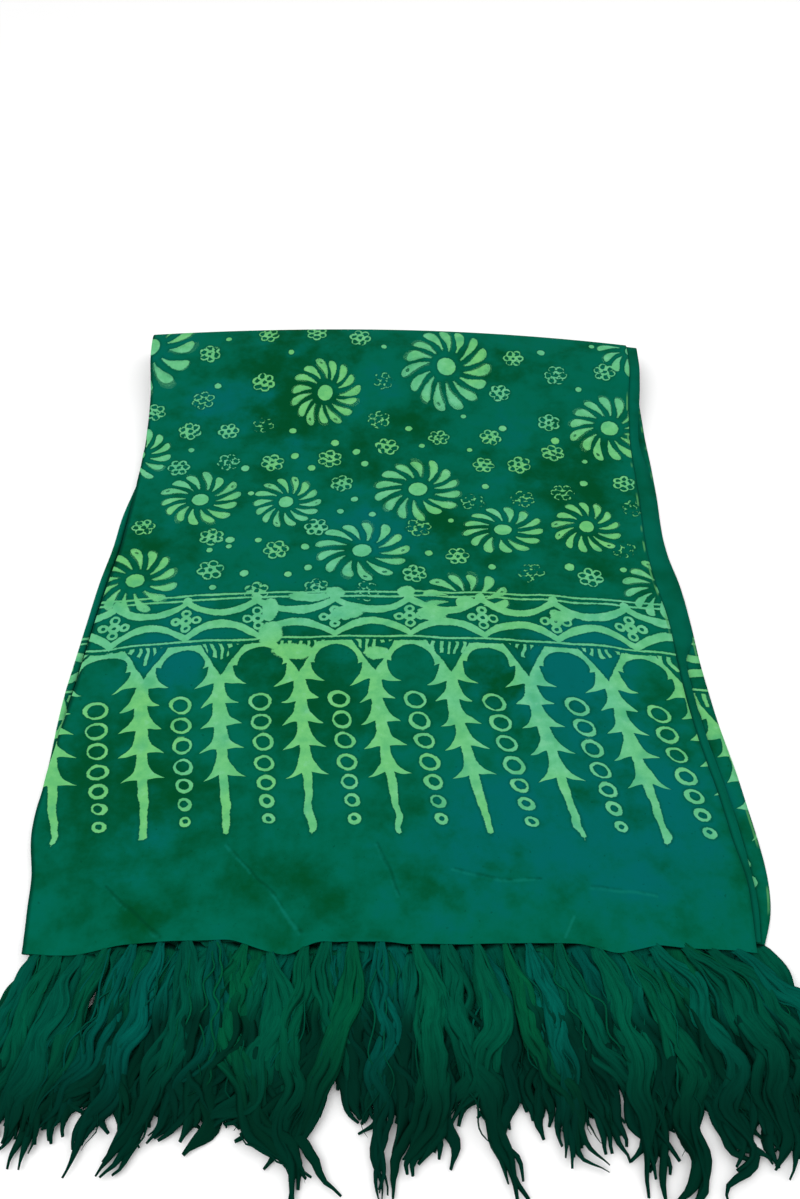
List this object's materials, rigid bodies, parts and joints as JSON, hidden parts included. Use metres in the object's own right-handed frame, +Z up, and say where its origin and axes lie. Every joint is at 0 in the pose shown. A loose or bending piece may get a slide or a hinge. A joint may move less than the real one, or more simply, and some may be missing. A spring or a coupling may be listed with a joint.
{
  "type": "folded sarong",
  "caption": "Batik sarong with fringed ends, folded in half both ways and lying flat, with a soft fold at the far end.",
  "frame": {"origin": "on the ground under the middle of the whole part's box", "axes": "+X across the folded cloth from its folded side to its selvedges, +Y along it from the fringe to the far fold, +Z up"},
  "size_m": [0.6262, 0.9981, 0.0344],
  "materials": {
    "printed_cloth": "teal green rayon with a light green wax-resist print",
    "selvedge_cloth": "plain teal green rayon",
    "fringe": "crinkled dark green yarn"
  },
  "bodies": {
    "root": {"top_leaf": "printed_cloth", "folded_layers": "selvedge_cloth", "lower_leaf": "printed_cloth", "top_fringe": "fringe", "second_fringe": "fringe", "third_fringe": "fringe", "lower_fringe": "fringe"}
  },
  "joints": []
}
